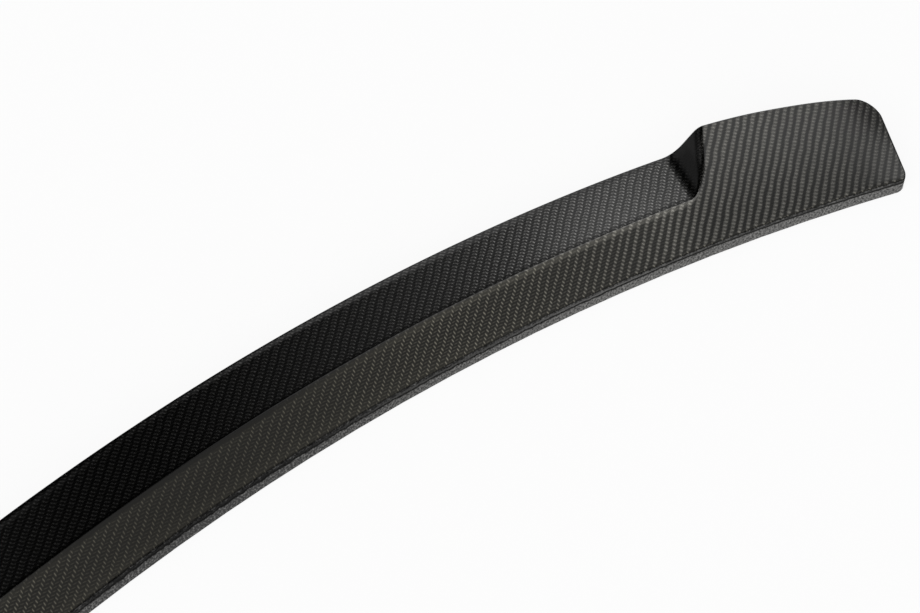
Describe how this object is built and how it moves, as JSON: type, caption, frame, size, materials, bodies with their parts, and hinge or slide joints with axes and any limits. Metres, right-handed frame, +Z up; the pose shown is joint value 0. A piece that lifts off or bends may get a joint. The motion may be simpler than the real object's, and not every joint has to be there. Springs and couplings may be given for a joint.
{
  "type": "car rear spoiler",
  "caption": "Curved carbon-cloth boot-lid spoiler with a sunken middle between raised ends, hollow underneath, with flat tape strips that bond it to the lid.",
  "frame": {"origin": "middle of the front tape's bonding face, on the spoiler's plane of symmetry", "axes": "+X along the spoiler, towards the car's left-hand side, +Y to the rear of the car, +Z up from the boot lid"},
  "size_m": [1.1836, 0.1809, 0.0413],
  "materials": {
    "carbon": "black carbon twill under a gloss clear coat",
    "tape": "foam tape with a red liner"
  },
  "bodies": {
    "root": {"spoiler_shell": "carbon", "front_tape": "tape", "rear_tape": "tape"}
  },
  "joints": []
}
